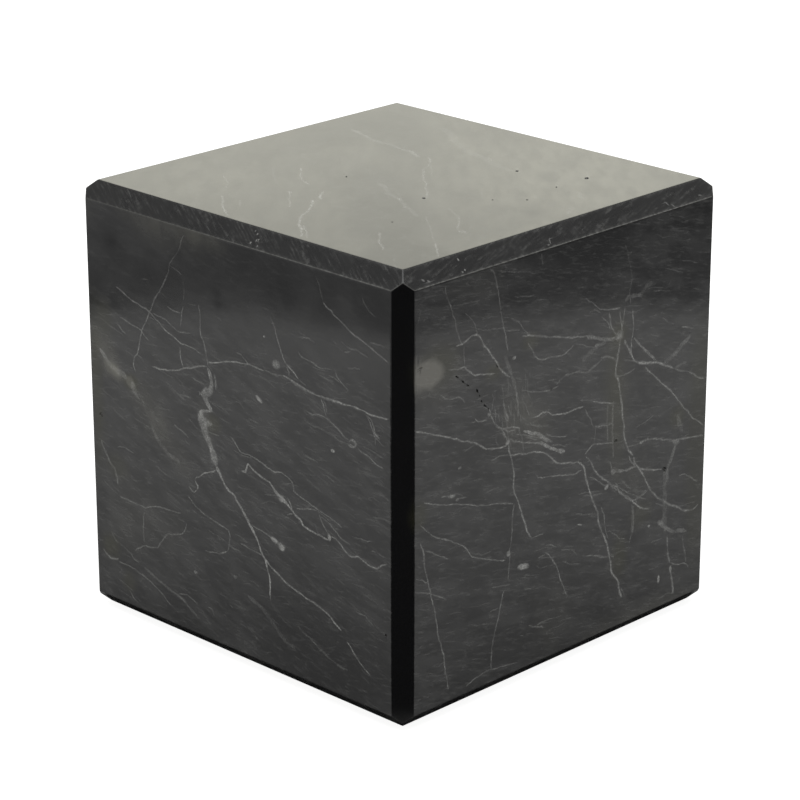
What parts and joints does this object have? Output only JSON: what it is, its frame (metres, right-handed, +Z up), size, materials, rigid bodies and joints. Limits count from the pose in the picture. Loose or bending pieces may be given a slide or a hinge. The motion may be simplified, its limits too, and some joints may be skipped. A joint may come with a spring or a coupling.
{
  "type": "polished stone cube",
  "caption": "Solid cube of polished black shungite with narrow ground bevels and pale mineral veins, to stand on a desk or shelf as an ornament or paperweight.",
  "frame": {"origin": "centre of the square footprint, on the flat face that the cube rests on", "axes": "+Z up through the centre of the cube; +X and -Y point out of the two side faces whose shared upright edge faces the viewer in the picture"},
  "size_m": [0.1, 0.1, 0.1],
  "materials": {
    "polished_shungite": "polished"
  },
  "bodies": {
    "root": {"shungite_cube": "polished_shungite"}
  },
  "joints": []
}
